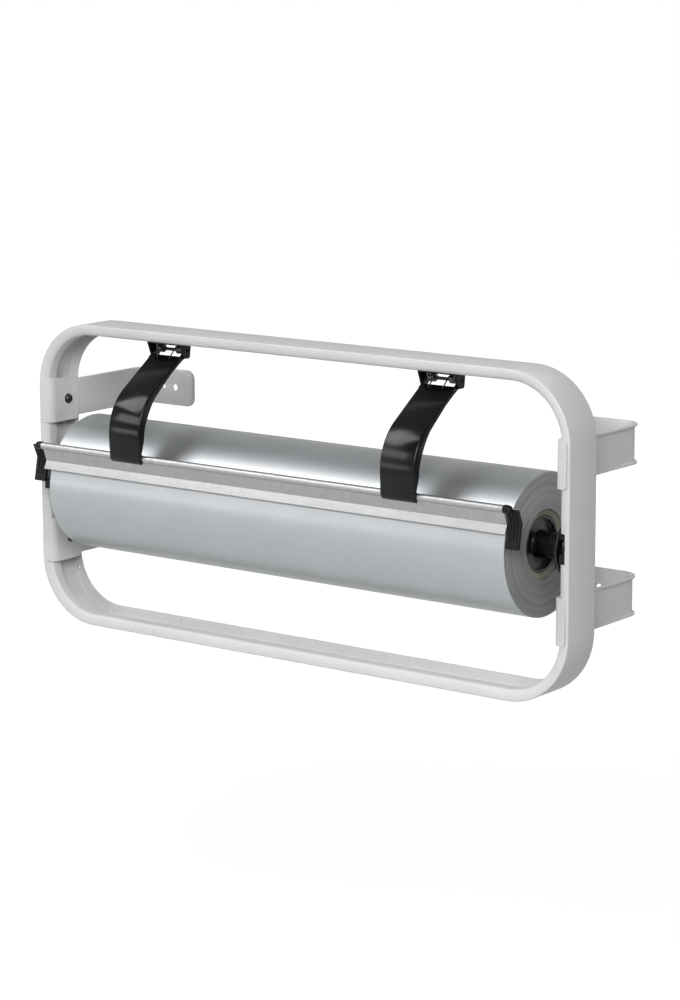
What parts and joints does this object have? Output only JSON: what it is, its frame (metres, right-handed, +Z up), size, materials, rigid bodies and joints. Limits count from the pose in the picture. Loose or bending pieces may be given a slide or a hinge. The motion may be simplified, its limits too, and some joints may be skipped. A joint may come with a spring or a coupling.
{
  "type": "wall-mounted paper roll cutter",
  "caption": "Wall-mounted ring frame that carries a roll of paper on an axle, with two sprung arms that press a bright tear bar on the roll.",
  "frame": {"origin": "the middle of the four large wall holes, on the back of the wall flanges' plates; the wall itself is at Y = 2.3 mm, where the flanges' rims end", "axes": "+X to the right along the roll, +Y into the wall, +Z up; the roll and the cutter stand out towards -Y"},
  "size_m": [0.586, 0.1806, 0.282],
  "materials": {
    "grey_paint": "light grey powder coat, satin",
    "black_screw": "blackened steel",
    "zinc_steel": "zinc-plated steel",
    "black_plastic": "moulded, fine grain",
    "black_steel": "black enamel",
    "card": "wound cardboard",
    "silver_paper": "metallised paper, satin silver",
    "spring_wire": "oiled spring steel",
    "black_gloss": "glossy moulding",
    "bright_alloy": "bright anodised extrusion"
  },
  "bodies": {
    "frame": {"rail_top": "grey_paint", "rail_bottom": "grey_paint", "upright_left": "grey_paint", "upright_right": "grey_paint", "bracket_upper_left": "grey_paint", "bracket_upper_right": "grey_paint", "bracket_lower_left": "grey_paint", "bracket_lower_right": "grey_paint", "bracket_screws": "black_screw", "clamp_dogs": "zinc_steel", "axle_bearing_left": "black_plastic", "axle_bearing_right": "black_plastic", "arm_foot_left": "black_plastic", "arm_foot_right": "black_plastic", "foot_screws": "zinc_steel", "pivot_pin_left": "black_steel", "pivot_pin_right": "black_steel", "torsion_spring_left": "spring_wire", "torsion_spring_right": "spring_wire"},
    "roll": {"axle": "black_steel", "core_plug_left": "black_plastic", "core_plug_right": "black_plastic", "axle_collar_left": "black_plastic", "axle_collar_right": "black_plastic", "collar_screws": "zinc_steel", "core_tube": "card", "paper_roll": "silver_paper"},
    "cutter": {"arm_left": "black_gloss", "arm_right": "black_gloss", "cut_bar": "bright_alloy", "end_cap_left": "black_plastic", "end_cap_right": "black_plastic"}
  },
  "joints": [
    {"name": "roll_spin", "type": "hinge", "parent": "frame", "child": "roll", "pos_m": [0, -0.1053, -0.009], "axis": [1, 0, 0], "continuous": true},
    {"name": "cutter_lift", "type": "hinge", "parent": "frame", "child": "cutter", "pos_m": [0, -0.1114, 0.123], "axis": [-1, 0, 0], "range_deg": [0, 56], "stiffness_Nm_per_rad": 0.25, "springref_deg": -40.11, "deforming": ["torsion_spring_left", "torsion_spring_right"]}
  ]
}
